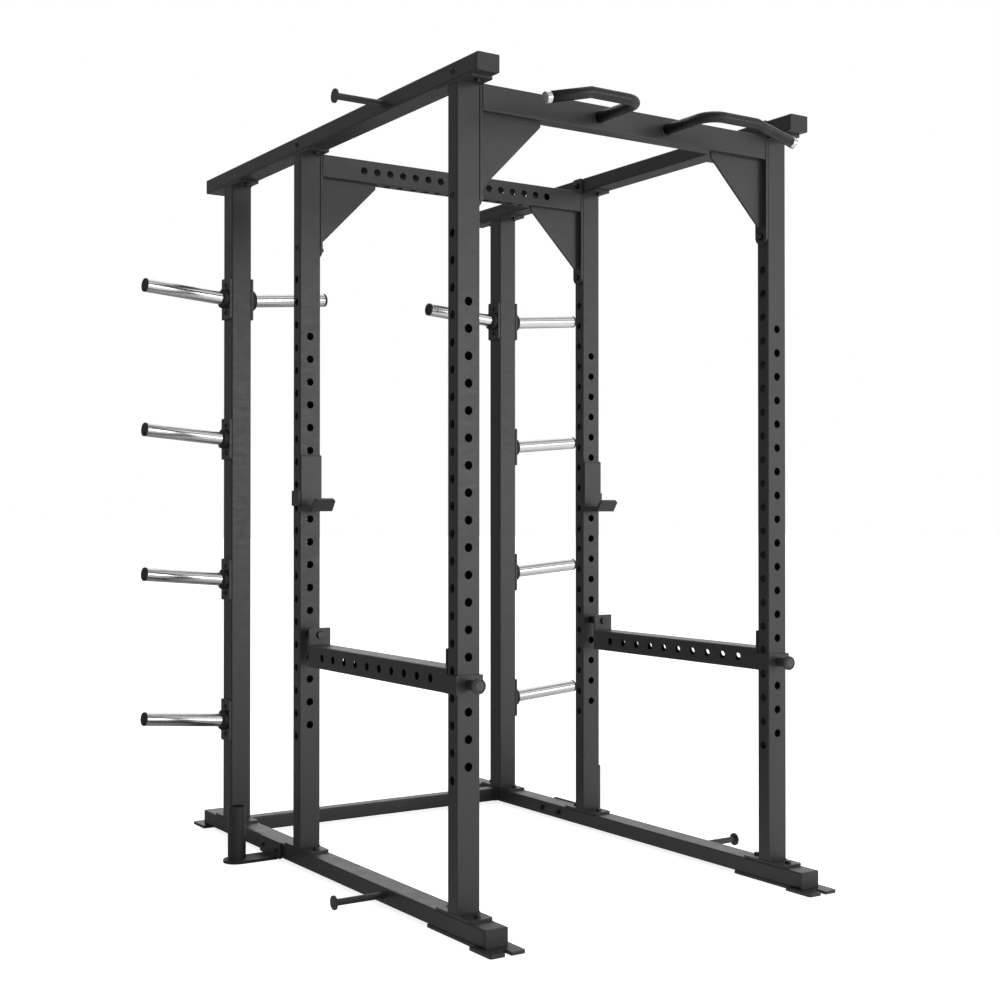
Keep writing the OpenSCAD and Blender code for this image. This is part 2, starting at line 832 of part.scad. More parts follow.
// Plunger nose and stem, in one turned piece.
module pull_pin_plunger() {
  nose = plunger_reach + 1;
  stem = barrel_length + 6 + seat_gap + 8;
  color(zinc) translate([side_x, front_y + plunger_reach, pull_z]) rotate([90, 0, 0])
    rotate_extrude() polygon([
      [0, 0], [plunger_r - 2, 0], [plunger_r, 2], [plunger_r, nose],
      [stem_r, nose], [stem_r, nose + stem], [0, nose + stem]
    ]);
}

spring_turns = 7;
spring_r = 8.2;
spring_length = barrel_length + 6 + seat_gap - 1 - 4 - 0.6;
ring_steps = 10;
wire_sides = 6;

// Points of one ring of the spring wire.
function wire_ring(i) =
  let (
    a = 360 * i / ring_steps,
    z = spring_wire / 2 + (spring_length - spring_wire) * i / (spring_turns * ring_steps)
  )
  [for (j = [0:wire_sides - 1])
    let (b = 360 * j / wire_sides, r = spring_r + spring_wire / 2 * cos(b))
      [r * cos(a), r * sin(a), z + spring_wire / 2 * sin(b)]];

module pull_pin_spring() {
  rings = spring_turns * ring_steps;
  points = [for (i = [0:rings]) each wire_ring(i)];
  sides = [for (i = [0:rings - 1], j = [0:wire_sides - 1])
    let (a = i * wire_sides + j, b = i * wire_sides + (j + 1) % wire_sides)
      [b, a, a + wire_sides, b + wire_sides]];
  ends = [
    [for (j = [0:wire_sides - 1]) j],
    [for (j = [wire_sides - 1:-1:0]) rings * wire_sides + j]
  ];
  color(bright) translate([side_x, front_y - 1.3, pull_z]) rotate([90, 0, 0])
    polyhedron(points = points, faces = concat(sides, ends));
}

module pull_pin_knob() {
  r = knob_d / 2;
  h = knob_length;
  color(rubber_black) translate([side_x, barrel_y - seat_gap, pull_z]) rotate([90, 0, 0])
    rotate_extrude() polygon([
      [stem_r + 0.02, 0], [r - 6, 0], [r - 2, 3], [r, 5], [r, h - 3], [r - 2, h],
      [r - 6, h], [r - 7, h - 1.5], [0, h - 1.5], [0, 8.5], [stem_r + 0.02, 8.5]
    ]);
}

// ---- assembly ------------------------------------------------------------

left_side() base_rail();  // base_rail_left
base_rail();  // base_rail_right
rear_crossmember();
left_side() perforated_upright(front_y);  // upright_front_left
perforated_upright(front_y);  // upright_front_right
left_side() perforated_upright(middle_y);  // upright_middle_left
perforated_upright(middle_y);  // upright_middle_right
left_side() rear_upright();  // upright_rear_left
rear_upright();  // upright_rear_right
base_flange_plates();
top_flange_plates();
left_side() top_beam();  // top_beam_left
top_beam();  // top_beam_right
front_crossbeam();
middle_crossbeam();
crossbeam_end_plates();
crossbeam_gussets();
foot_plates();
rail_end_caps();
beam_end_caps();
left_side() pullup_handle();  // pullup_handle_left
pullup_handle();  // pullup_handle_right
handle_end_caps();
horn_plates();
horn_collars();
horn_sleeves();
horn_end_caps();
horn_bolts();
band_pegs();
bar_holder_brackets();
left_side() bar_holder_tube();  // bar_holder_tube_left
bar_holder_tube();  // bar_holder_tube_right
holder_bolts();
left_side() jcup();  // jcup_left
jcup();  // jcup_right
left_side() jcup_liner();  // jcup_liner_left
jcup_liner();  // jcup_liner_right
left_side() jcup_pin();  // jcup_pin_left
jcup_pin();  // jcup_pin_right
left_side() safety_bar();  // safety_bar_left
safety_bar();  // safety_bar_right
left_side() safety_collar();  // safety_collar_left
safety_collar();  // safety_collar_right
safety_rear_plates();
safety_hook_pins();
left_side() pull_pin_barrel();  // pull_pin_barrel_left
pull_pin_barrel();  // pull_pin_barrel_right
left_side() pull_pin_plunger();  // pull_pin_plunger_left
pull_pin_plunger();  // pull_pin_plunger_right
left_side() pull_pin_spring();  // pull_pin_spring_left
pull_pin_spring();  // pull_pin_spring_right
left_side() pull_pin_knob();  // pull_pin_knob_left
pull_pin_knob();  // pull_pin_knob_right
flange_bolts();
crossbeam_bolts();
crossbeam_nuts();
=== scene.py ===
"""Power cage: finishes, weld seams, moulded fittings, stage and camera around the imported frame."""

import json
import math

import bmesh
import bpy
from mathutils import Matrix, Vector


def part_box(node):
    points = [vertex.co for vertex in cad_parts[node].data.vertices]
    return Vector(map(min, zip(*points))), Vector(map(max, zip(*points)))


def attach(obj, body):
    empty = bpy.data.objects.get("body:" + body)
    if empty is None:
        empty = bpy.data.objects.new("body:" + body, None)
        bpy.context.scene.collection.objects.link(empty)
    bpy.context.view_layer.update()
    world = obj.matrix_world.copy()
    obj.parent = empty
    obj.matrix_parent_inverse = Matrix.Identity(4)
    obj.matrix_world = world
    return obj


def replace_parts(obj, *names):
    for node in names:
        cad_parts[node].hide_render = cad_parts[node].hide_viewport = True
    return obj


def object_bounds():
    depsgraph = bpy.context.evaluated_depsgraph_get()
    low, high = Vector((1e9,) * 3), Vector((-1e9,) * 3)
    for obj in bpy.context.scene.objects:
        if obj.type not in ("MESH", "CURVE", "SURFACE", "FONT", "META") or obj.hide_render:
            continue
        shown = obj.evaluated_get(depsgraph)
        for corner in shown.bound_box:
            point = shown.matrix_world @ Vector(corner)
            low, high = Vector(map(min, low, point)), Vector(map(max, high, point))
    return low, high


bl_info = {
    "name": "Power Cage",
    "version": (1, 0, 0),
    "blender": (4, 5, 0),
    "location": "View3D > Sidebar > Cage",
    "description": "Finishes and dresses a six-post power cage",
    "category": "Object",
}

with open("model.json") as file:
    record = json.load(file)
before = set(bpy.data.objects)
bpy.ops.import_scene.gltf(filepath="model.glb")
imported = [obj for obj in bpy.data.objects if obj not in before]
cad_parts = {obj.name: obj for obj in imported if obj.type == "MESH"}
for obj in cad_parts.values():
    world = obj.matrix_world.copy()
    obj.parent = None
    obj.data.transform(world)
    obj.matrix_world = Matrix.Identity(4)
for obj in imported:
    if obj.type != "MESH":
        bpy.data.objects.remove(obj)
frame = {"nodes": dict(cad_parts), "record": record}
CAD_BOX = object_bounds()
NODES = frame["nodes"]
MM = 0.001

# The CAD nodes by what they are made of.
TUBES = (
    "base_rail_left", "base_rail_right", "rear_crossmember",
    "upright_front_left", "upright_front_right", "upright_middle_left",
    "upright_middle_right", "upright_rear_left", "upright_rear_right",
    "top_beam_left", "top_beam_right", "front_crossbeam", "middle_crossbeam",
)
PLATES = (
    "base_flange_plates", "top_flange_plates", "crossbeam_end_plates",
    "crossbeam_gussets", "foot_plates",
)
END_CAPS = ("rail_end_caps", "beam_end_caps")
BOLTS = (
    "flange_bolts", "crossbeam_bolts", "crossbeam_nuts", "horn_bolts", "holder_bolts",
)
SIDES = ("left", "right")

# Sizes that the weld seams follow.
TUBE_CORNER = 5 * MM
GUSSET_HALF = 4 * MM
GUSSET_REACH = 209 * MM
HANDLE_SPREAD = 127 * MM
HANDLE_BEAD = 17 * MM
PEG_RADIUS = 10 * MM
PEG_DISC = 21 * MM

# The chrome sleeves start and end this far outside the clear length that plates use.
SLEEVE_MARGIN = 2 * MM
SLEEVE_NECK = 1.5 * MM
SLEEVE_SEGMENTS = 96

# Brightness of the studio's walls and floor.
LOW_WALL, HIGH_WALL, CEILING, LEFT_WALL = 1.30, 0.85, 1.00, 0.26
SURROUND = 0.08
FLOOR_GLOW = 0.28
FLOOR_WHITE = 0.82
FLOOR_DIM, FLOOR_BRIGHT = (0.42, 0.42, 0.42), (0.98, 0.98, 0.98)


# ---- settings ---------------------------------------------------------------


class CageFinish(bpy.types.PropertyGroup):
    """Colours and surface of the steel, chrome, rubber and mouldings"""

    coat_colour: bpy.props.FloatVectorProperty(
        name="Powder coat", description="Colour of the powder coat on the steel",
        subtype="COLOR", size=3, min=0, max=1, default=(0.031, 0.031, 0.0319),
    )
    coat_roughness: bpy.props.FloatProperty(
        name="Coat roughness", description="How matt the powder coat is",
        subtype="FACTOR", min=0, max=1, default=0.38,
    )
    peel_size: bpy.props.FloatProperty(
        name="Orange peel", description="Distance between the ripples of the powder coat",
        unit="LENGTH", min=0.0003, max=0.01, default=0.0016, precision=4,
    )
    chrome_colour: bpy.props.FloatVectorProperty(
        name="Chrome", description="Tint of the chrome plating",
        subtype="COLOR", size=3, min=0, max=1, default=(0.78, 0.785, 0.79),
    )
    rubber_colour: bpy.props.FloatVectorProperty(
        name="Rubber", description="Colour of the collars and horn caps",
        subtype="COLOR", size=3, min=0, max=1, default=(0.010, 0.010, 0.0104),
    )
    grip_colour: bpy.props.FloatVectorProperty(
        name="Grip coat", description="Colour of the coating on the pull-up handles",
        subtype="COLOR", size=3, min=0, max=1, default=(0.010, 0.010, 0.0104),
    )
    moulding_colour: bpy.props.FloatVectorProperty(
        name="Mouldings", description="Colour of the end caps, liners and knobs",
        subtype="COLOR", size=3, min=0, max=1, default=(0.030, 0.030, 0.0309),
    )
    bolt_colour: bpy.props.FloatVectorProperty(
        name="Bolts", description="Colour of the black-oxide bolts and pins",
        subtype="COLOR", size=3, min=0, max=1, default=(0.048, 0.048, 0.050),
    )


class CageDetail(bpy.types.PropertyGroup):
    """Sizes of the small shapes that Blender adds"""

    edge_round: bpy.props.FloatProperty(
        name="Edge rounding", description="Radius that the powder coat leaves on cut edges",
        unit="LENGTH", min=0, max=0.003, default=0.0009, precision=4,
    )
    bolt_round: bpy.props.FloatProperty(
        name="Bolt chamfer", description="Width of the chamfer on bolt heads",
        unit="LENGTH", min=0, max=0.002, default=0.0007, precision=4,
    )
    weld_leg: bpy.props.FloatProperty(
        name="Weld leg", description="Leg length of the fillet welds",
        unit="LENGTH", min=0.001, max=0.008, default=0.0024, precision=4,
    )
    weld_ripple: bpy.props.FloatProperty(
        name="Weld ripple", description="Distance between the ripples of a weld bead",
        unit="LENGTH", min=0.001, max=0.01, default=0.0032, precision=4,
    )
    knob_lobes: bpy.props.IntProperty(
        name="Knob grooves", description="Number of finger grooves round a pull pin's knob",
        min=6, max=60, default=30,
    )


class CageStage(bpy.types.PropertyGroup):
    """Floor, lights and camera"""

    floor_size: bpy.props.FloatProperty(
        name="Floor", description="Side of the square floor",
        unit="LENGTH", min=5, max=200, default=120,
    )
    top_power: bpy.props.FloatProperty(
        name="Top light", description="Power of the large overhead softbox",
        unit="POWER", min=0, max=10000, default=150,
    )
    key_power: bpy.props.FloatProperty(
        name="Key light", description="Power of the softbox in front on the right",
        unit="POWER", min=0, max=10000, default=400,
    )
    camera_place: bpy.props.FloatVectorProperty(
        name="Camera", description="Position of the camera",
        subtype="TRANSLATION", size=3, default=(-2.7533, -4.2930, 1.1622),
    )
    camera_turn: bpy.props.FloatProperty(
        name="Turn", description="Turn of the camera from straight ahead to the right",
        subtype="ANGLE", default=math.radians(33.276),
    )
    camera_tilt: bpy.props.FloatProperty(
        name="Tilt", description="Upward tilt of the camera",
        subtype="ANGLE", default=math.radians(0.5),
    )
    lens: bpy.props.FloatProperty(
        name="Lens", description="Focal length on a 36 mm sensor, in millimetres",
        min=10, max=300, default=53.94,
    )


def settings():
    """The three groups of settings of the open scene."""
    scene = bpy.context.scene
    return scene.cage_finish, scene.cage_detail, scene.cage_stage


# ---- materials --------------------------------------------------------------


class Surface:
    """A node material with a Principled shader, built one node at a time."""

    def __init__(self, name):
        self.material = bpy.data.materials.new(name)
        self.material.use_nodes = True
        self.tree = self.material.node_tree
        self.shader = self.tree.nodes["Principled BSDF"]
        self.coords = self.tree.nodes.new("ShaderNodeTexCoord").outputs["Object"]
        self.bump = None

    def node(self, kind, **values):
        """Adds a node and sets its options."""
        made = self.tree.nodes.new(kind)
        for key, value in values.items():
            setattr(made, key, value)
        return made

    def link(self, start, end):
        self.tree.links.new(start, end)

    def stretched(self, scale):
        """Object coordinates scaled by three numbers, for grain that runs one way."""
        mapping = self.node("ShaderNodeMapping")
        mapping.inputs["Scale"].default_value = scale
        self.link(self.coords, mapping.inputs["Vector"])
        return mapping.outputs["Vector"]

    def noise(self, scale, detail=2.0, roughness=0.5, vector=None):
        made = self.node("ShaderNodeTexNoise")
        made.inputs["Scale"].default_value = scale
        made.inputs["Detail"].default_value = detail
        made.inputs["Roughness"].default_value = roughness
        self.link(vector or self.coords, made.inputs["Vector"])
        return made.outputs["Fac"]

    def cells(self, scale, vector=None):
        made = self.node("ShaderNodeTexVoronoi")
        made.inputs["Scale"].default_value = scale
        self.link(vector or self.coords, made.inputs["Vector"])
        return made.outputs["Distance"]

    def spread(self, fac, low, high, to_low=0.0, to_high=1.0):
        """Stretches the range low to high of a value to the range to_low to to_high."""
        made = self.node("ShaderNodeMapRange")
        for key, value in (("From Min", low), ("From Max", high),
                           ("To Min", to_low), ("To Max", to_high)):
            made.inputs[key].default_value = value
        self.link(fac, made.inputs["Value"])
        return made.outputs["Result"]

    def mixed(self, fac, first, second):
        """Colour between two colours, or a colour and another node's output."""
        made = self.node("ShaderNodeMix", data_type="RGBA")
        self.link(fac, made.inputs["Factor"])
        a, b = made.inputs[6], made.inputs[7]
        for socket, value in ((a, first), (b, second)):
            if isinstance(value, bpy.types.NodeSocket):
                self.link(value, socket)
            else:
                socket.default_value = (*value[:3], 1.0)
        return made.outputs[2]

    def raise_by(self, height, distance, strength=1.0):
        """Adds a layer of bump; later layers ride on the earlier ones."""
        made = self.node("ShaderNodeBump")
        made.inputs["Strength"].default_value = strength
        made.inputs["Distance"].default_value = distance
        self.link(height, made.inputs["Height"])
        if self.bump is not None:
            self.link(self.bump, made.inputs["Normal"])
        self.bump = made.outputs["Normal"]
        self.link(self.bump, self.shader.inputs["Normal"])

    def colour(self, output):
        self.link(output, self.shader.inputs["Base Color"])

    def rough(self, output):
        self.link(output, self.shader.inputs["Roughness"])

    def fixed(self, **values):
        """Sets sockets that are the same all over; underscores stand for spaces."""
        for key, value in values.items():
            self.shader.inputs[key.replace("_", " ")].default_value = value


def times(colour, factor):
    return tuple(min(1.0, c * factor) for c in colour[:3])


def powder_coat():
    """Charcoal satin powder coat: orange peel, fine sparkle and faint handling marks."""
    finish, _, _ = settings()
    s = Surface("charcoal_powder_coat")
    base = tuple(finish.coat_colour)
    cloud = s.spread(s.noise(3.5, 3.0), 0.3, 0.7)
    fleck = s.spread(s.noise(1900.0, 1.0), 0.45, 0.75)
    tone = s.mixed(cloud, times(base, 0.90), times(base, 1.12))
    s.colour(s.mixed(s.spread(fleck, 0.0, 1.0, 0.0, 0.30), tone, times(base, 1.9)))
    marks = s.noise(1.0, 4.0, 0.6, s.stretched((22.0, 22.0, 60.0)))
    level = finish.coat_roughness
    s.rough(s.spread(marks, 0.25, 0.75, level - 0.05, level + 0.07))
    s.raise_by(s.noise(1.0 / finish.peel_size, 2.0), 0.00012, 0.45)
    s.raise_by(s.noise(5200.0, 1.0), 0.00003, 0.35)
    s.fixed(Specular_IOR_Level=0.5)
    return s.material


def chrome():
    """Polished chrome plating with a soft haze."""
    finish, _, _ = settings()
    s = Surface("polished_chrome")
    base = tuple(finish.chrome_colour)
    haze = s.spread(s.noise(26.0, 3.0), 0.3, 0.7)
    s.colour(s.mixed(haze, times(base, 0.94), times(base, 1.04)))
    s.rough(s.spread(s.noise(60.0, 3.0), 0.3, 0.7, 0.14, 0.18))
    s.fixed(Metallic=1.0)
    return s.material


def black_rubber():
    """Matt moulded rubber with a fine grain and a little bloom."""
    finish, _, _ = settings()
    s = Surface("black_rubber")
    base = tuple(finish.rubber_colour)
    bloom = s.spread(s.noise(40.0, 4.0, 0.6), 0.45, 0.8)
    s.colour(s.mixed(bloom, base, times(base, 2.2)))
    s.rough(s.spread(s.noise(300.0, 2.0), 0.3, 0.7, 0.56, 0.74))
    s.raise_by(s.noise(2400.0, 2.0), 0.00006, 0.5)
    return s.material


def grip_coat():
    """Soft-touch dipped coating of the pull-up handles."""
    finish, _, _ = settings()
    s = Surface("dipped_grip_coat")
    base = tuple(finish.grip_colour)
    s.colour(s.mixed(s.spread(s.noise(12.0, 3.0), 0.3, 0.7), times(base, 0.85),
                     times(base, 1.2)))
    s.rough(s.spread(s.noise(90.0, 3.0), 0.3, 0.7, 0.36, 0.50))
    s.raise_by(s.noise(900.0, 2.0), 0.00008, 0.35)
    s.raise_by(s.noise(3600.0, 1.0), 0.00002, 0.4)
    return s.material


def moulded_plastic():
    """Injection-moulded plastic with a spark-eroded grain."""
    finish, _, _ = settings()
    s = Surface("moulded_plastic")
    base = tuple(finish.moulding_colour)
    s.colour(s.mixed(s.spread(s.noise(18.0, 2.0), 0.35, 0.65), times(base, 0.9),
                     times(base, 1.15)))
    s.rough(s.spread(s.cells(1500.0), 0.1, 0.7, 0.40, 0.54))
    s.raise_by(s.cells(1500.0), 0.00005, 0.5)
    return s.material


def knob_plastic():
    """Grained plastic of the pull-pin knobs, a shade lighter than the end caps."""
    finish, _, _ = settings()
    s = Surface("knob_plastic")
    base = times(finish.moulding_colour, 2.4)
    s.colour(s.mixed(s.spread(s.noise(60.0, 2.0), 0.35, 0.65), times(base, 0.92),
                     times(base, 1.08)))
    s.rough(s.spread(s.cells(1300.0), 0.1, 0.7, 0.42, 0.56))
    s.raise_by(s.cells(1300.0), 0.00005, 0.5)
    return s.material


def liner_plastic():
    """Tough liner plastic with faint scuffs from the bar."""
    finish, _, _ = settings()
    s = Surface("liner_plastic")
    base = tuple(finish.moulding_colour)
    scuffs = s.spread(s.noise(1.0, 3.0, 0.6, s.stretched((30.0, 420.0, 420.0))), 0.56, 0.72)
    s.colour(s.mixed(scuffs, base, times(base, 1.7)))
    s.rough(s.spread(scuffs, 0.0, 1.0, 0.38, 0.55))
    s.raise_by(scuffs, 0.00004, 0.3)
    s.raise_by(s.noise(1700.0, 2.0), 0.00004, 0.35)
    return s.material


def black_oxide():
    """Black-oxide steel of bolts, nuts and pins, with rubbed highlights."""
    finish, _, _ = settings()
    s = Surface("black_oxide_steel")
    base = tuple(finish.bolt_colour)
    rubbed = s.spread(s.noise(160.0, 4.0, 0.6), 0.5, 0.75)
    s.colour(s.mixed(rubbed, base, times(base, 2.4)))
    s.rough(s.spread(s.noise(420.0, 3.0), 0.3, 0.7, 0.30, 0.46))
    s.raise_by(s.noise(2600.0, 2.0), 0.00003, 0.4)
    s.fixed(Metallic=1.0)
    return s.material


def spring_wire():
    """Bright drawn spring wire."""
    s = Surface("drawn_spring_wire")
    s.colour(s.mixed(s.spread(s.noise(500.0, 3.0), 0.3, 0.7), (0.42, 0.42, 0.43),
                     (0.6, 0.6, 0.61)))
    s.rough(s.spread(s.noise(900.0, 2.0), 0.3, 0.7, 0.22, 0.36))
    s.fixed(Metallic=1.0)
    return s.material


MAKERS = {
    "coat": powder_coat, "chrome": chrome, "rubber": black_rubber, "grip": grip_coat,
    "moulding": moulded_plastic, "knob": knob_plastic, "liner": liner_plastic,
    "bolt": black_oxide, "spring": spring_wire,
}
made_finishes = {}


def finish_of(key):
    """Makes each material once and hands out the same one after that."""
    if key not in made_finishes:
        made_finishes[key] = MAKERS[key]()
    return made_finishes[key]


# ---- shaping ----------------------------------------------------------------


def coat_node(name, key, rounding):
    """Gives a CAD node its material and rounds its cut edges with modifiers."""
    obj = NODES[name]
    data = obj.data
    data.materials.clear()
    data.materials.append(finish_of(key))
    custom = data.attributes.get("custom_normal")
    if custom is not None:
        data.attributes.remove(custom)
    for polygon in data.polygons:
        polygon.use_smooth = True
        polygon.material_index = 0
    weld = obj.modifiers.new("weld", "WELD")
    weld.merge_threshold = 0.00002
    flat = obj.modifiers.new("flatten", "DECIMATE")
    flat.decimate_type = "DISSOLVE"
    flat.angle_limit = math.radians(0.6)
    if rounding > 0:
        bevel = obj.modifiers.new("round", "BEVEL")
        bevel.width = rounding
        bevel.segments = 2
        bevel.limit_method = "ANGLE"
        bevel.angle_limit = math.radians(40)
        bevel.use_clamp_overlap = True
        bevel.miter_outer = "MITER_ARC"
    normals = obj.modifiers.new("normals", "WEIGHTED_NORMAL")
    normals.weight = 80
    normals.keep_sharp = True


def piece(name, mesh, key, body):
    """Links a finished mesh as a named piece that rides on a body."""
    obj = bpy.data.objects.new(name, mesh)
    bpy.context.scene.collection.objects.link(obj)
    for polygon in mesh.polygons:
        polygon.use_smooth = True
    mesh.materials.append(finish_of(key))
    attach(obj, body)
    return obj


class Beads:
    """Collects fillet weld beads in one mesh."""

    def __init__(self):
        self.bm = bmesh.new()
        _, detail, _ = settings()
        self.leg = detail.weld_leg
        self.step = detail.weld_ripple

    def sweep(self, stations, closed):
        """Lays a bead through stations of (point, first leg, second leg)."""
        count = len(stations)
        rings = []
        for i, (point, a, b) in enumerate(stations):
            swell = self.leg * (1.0 + 0.10 * (1 if i % 2 else -1))
            outline = ((-0.12, -0.12), (1.0, -0.05), (0.82, 0.38), (0.60, 0.60),
                       (0.38, 0.82), (-0.05, 1.0))
            rings.append([
                self.bm.verts.new(point + a * (u * swell) + b * (v * swell))
                for u, v in outline
            ])
        sides = len(rings[0])
        last = count if closed else count - 1
        for i in range(last):
            first, second = rings[i], rings[(i + 1) % count]
            for j in range(sides):
                k = (j + 1) % sides
                self.bm.faces.new((first[j], first[k], second[k], second[j]))
        if not closed:
            self.bm.faces.new(rings[0])
            self.bm.faces.new(list(reversed(rings[-1])))

    def line(self, start, end, a, b):
        start, end = Vector(start), Vector(end)
        steps = max(2, round((end - start).length / (self.step / 2)))
        self.sweep([(start.lerp(end, i / steps), Vector(a), Vector(b))
                    for i in range(steps + 1)], False)

    def ring(self, centre, radius, along):
        """Bead round a bar that stands on a wall; along points away from the wall."""
        centre, along = Vector(centre), Vector(along).normalized()
        across = along.orthogonal().normalized()
        up = along.cross(across)
        steps = 2 * max(12, round(math.tau * radius / self.step))
        stations = []
        for i in range(steps):
            angle = math.tau * i / steps
            out = across * math.cos(angle) + up * math.sin(angle)
            stations.append((centre + out * radius, out, along))
        self.sweep(stations, True)

    def frame(self, centre, half, corner, along, first, second):
        """Bead round a rectangular tube; first and second are its section's axes."""
        centre, along = Vector(centre), Vector(along)
        first, second = Vector(first), Vector(second)
        stations = []
        corners = ((1, 1, 0), (-1, 1, 90), (-1, -1, 180), (1, -1, 270))
        inner = (half[0] - corner, half[1] - corner)
        for n, (sx, sy, turn) in enumerate(corners):
            middle = centre + first * (sx * inner[0]) + second * (sy * inner[1])
            for k in range(7):
                angle = math.radians(turn + 15 * k)
                out = first * math.cos(angle) + second * math.sin(angle)
                stations.append((middle + out * corner, out, along))
            nx, ny, _ = corners[(n + 1) % 4]
            goal = centre + first * (nx * inner[0]) + second * (ny * inner[1])
            out = first * math.cos(math.radians(turn + 90))
            out += second * math.sin(math.radians(turn + 90))
            steps = round((goal - middle).length / (self.step / 2))
            for k in range(1, steps):
                stations.append((middle.lerp(goal, k / steps) + out * corner, out, along))
        self.sweep(stations, True)

    def done(self, name, body="frame"):
        bmesh.ops.recalc_face_normals(self.bm, faces=self.bm.faces)
        mesh = bpy.data.meshes.new(name)
        self.bm.to_mesh(mesh)
        self.bm.free()
        return piece(name, mesh, "coat", body)


def turned(bm, profile, segments, place, swell=None):
    """Revolves (radius, height) points about local Z into bm, closed at both ends."""
    rings = []
    for radius, height in profile:
        ring = []
        for i in range(segments):
            angle = math.tau * i / segments
            r = radius * (swell(angle, radius, height) if swell else 1.0)
            ring.append(bm.verts.new(place @ Vector(
                (r * math.cos(angle), r * math.sin(angle), height))))
        rings.append(ring)
    for first, second in zip(rings, rings[1:]):
        for i in range(segments):
            k = (i + 1) % segments
            bm.faces.new((first[i], first[k], second[k], second[i]))
    bm.faces.new(list(reversed(rings[0])))
    bm.faces.new(rings[-1])


# ---- operators --------------------------------------------------------------


class CAGE_OT_coat_tubes(bpy.types.Operator):
    """Powder-coats the rails, uprights, beams and crossbeams"""

    bl_idname = "cage.coat_tubes"
    bl_label = "Coat the tubes"

    def execute(self, context):
        _, detail, _ = settings()
        for name in TUBES:
            coat_node(name, "coat", detail.edge_round)
        return {"FINISHED"}


class CAGE_OT_coat_plates(bpy.types.Operator):
    """Powder-coats the flanges, end plates, gussets and feet"""

    bl_idname = "cage.coat_plates"
    bl_label = "Coat the plates"

    def execute(self, context):
        _, detail, _ = settings()
        for name in PLATES:
            coat_node(name, "coat", detail.edge_round)
        return {"FINISHED"}


class CAGE_OT_weld_seams(bpy.types.Operator):
    """Lays the fillet welds at posts, crossbeams, gussets, handles and pegs"""

    bl_idname = "cage.weld_seams"
    bl_label = "Weld the seams"

    def execute(self, context):
        x, y, z = Vector((1, 0, 0)), Vector((0, 1, 0)), Vector((0, 0, 1))
        corner = TUBE_CORNER
        feet, heads = Beads(), Beads()
        for row in ("front", "middle", "rear"):
            for side in SIDES:
                low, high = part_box(f"upright_{row}_{side}")
                half = ((high.x - low.x) / 2, (high.y - low.y) / 2)
                centre = (low + high) / 2
                feet.frame((centre.x, centre.y, low.z), half, corner, z, x, y)
                heads.frame((centre.x, centre.y, high.z), half, corner, -z, x, y)
        feet.done("weld_upright_feet")
        heads.done("weld_upright_heads")
        ends, gussets = Beads(), Beads()
        g_low, g_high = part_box("crossbeam_gussets")
        for name in ("front_crossbeam", "middle_crossbeam"):
            low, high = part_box(name)
            centre = (low + high) / 2
            half = ((high.y - low.y) / 2, (high.z - low.z) / 2)
            for s in (-1, 1):
                wall = Vector((s * high.x, centre.y, centre.z))
                ends.frame(wall, half, corner, -x * s, y, z)
                for side in (-1, 1):
                    out = y * side
                    face = centre.y + side * GUSSET_HALF
                    inner = s * (high.x - GUSSET_REACH)
                    gussets.line((inner, face, low.z), (s * high.x, face, low.z), out, -z)
                    gussets.line((s * high.x, face, low.z), (s * high.x, face, g_low.z),
                                 out, -x * s)
        ends.done("weld_crossbeam_ends")
        gussets.done("weld_gusset_edges")
        roots = Beads()
        for side in SIDES:
            low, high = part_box(f"pullup_handle_{side}")
            s = -1 if side == "left" else 1
            roots.ring((s * HANDLE_SPREAD, high.y, high.z - HANDLE_BEAD), HANDLE_BEAD,
                       -y)
        p_low, p_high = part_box("band_pegs")
        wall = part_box("upright_front_right")[1].x
        peg_y = (p_low.y + p_high.y) / 2
        for s in (-1, 1):
            for level in (p_low.z + PEG_DISC, p_high.z - PEG_DISC):
                roots.ring((s * wall, peg_y, level), PEG_RADIUS, x * s)
        for side in SIDES:
            low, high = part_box(f"bar_holder_tube_{side}")
            c = (low + high) / 2
            roots.ring((c.x, c.y, low.z), (high.x - low.x) / 2, z)
        roots.done("weld_round_seams")
        cross = Beads()
        low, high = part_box("rear_crossmember")
        c = (low + high) / 2
        for s in (-1, 1):
            cross.frame((s * high.x, c.y, c.z), ((high.y - low.y) / 2, (high.z - low.z) / 2),
                        corner, -x * s, y, z)
        cross.done("weld_crossmember_ends")
        return {"FINISHED"}


class CAGE_OT_fit_end_caps(bpy.types.Operator):
    """Finishes the moulded plugs in the ends of rails and beams"""

    bl_idname = "cage.fit_end_caps"
    bl_label = "Fit the end caps"

    def execute(self, context):
        for name in END_CAPS:
            coat_node(name, "moulding", 1.1 * MM)
        return {"FINISHED"}


class CAGE_OT_dress_handles(bpy.types.Operator):
    """Coats the pull-up handles and plates their end caps"""

    bl_idname = "cage.dress_handles"
    bl_label = "Dress the pull-up handles"

    def execute(self, context):
        for side in SIDES:
            coat_node(f"pullup_handle_{side}", "grip", 0)
        coat_node("handle_end_caps", "chrome", 0.5 * MM)
        return {"FINISHED"}


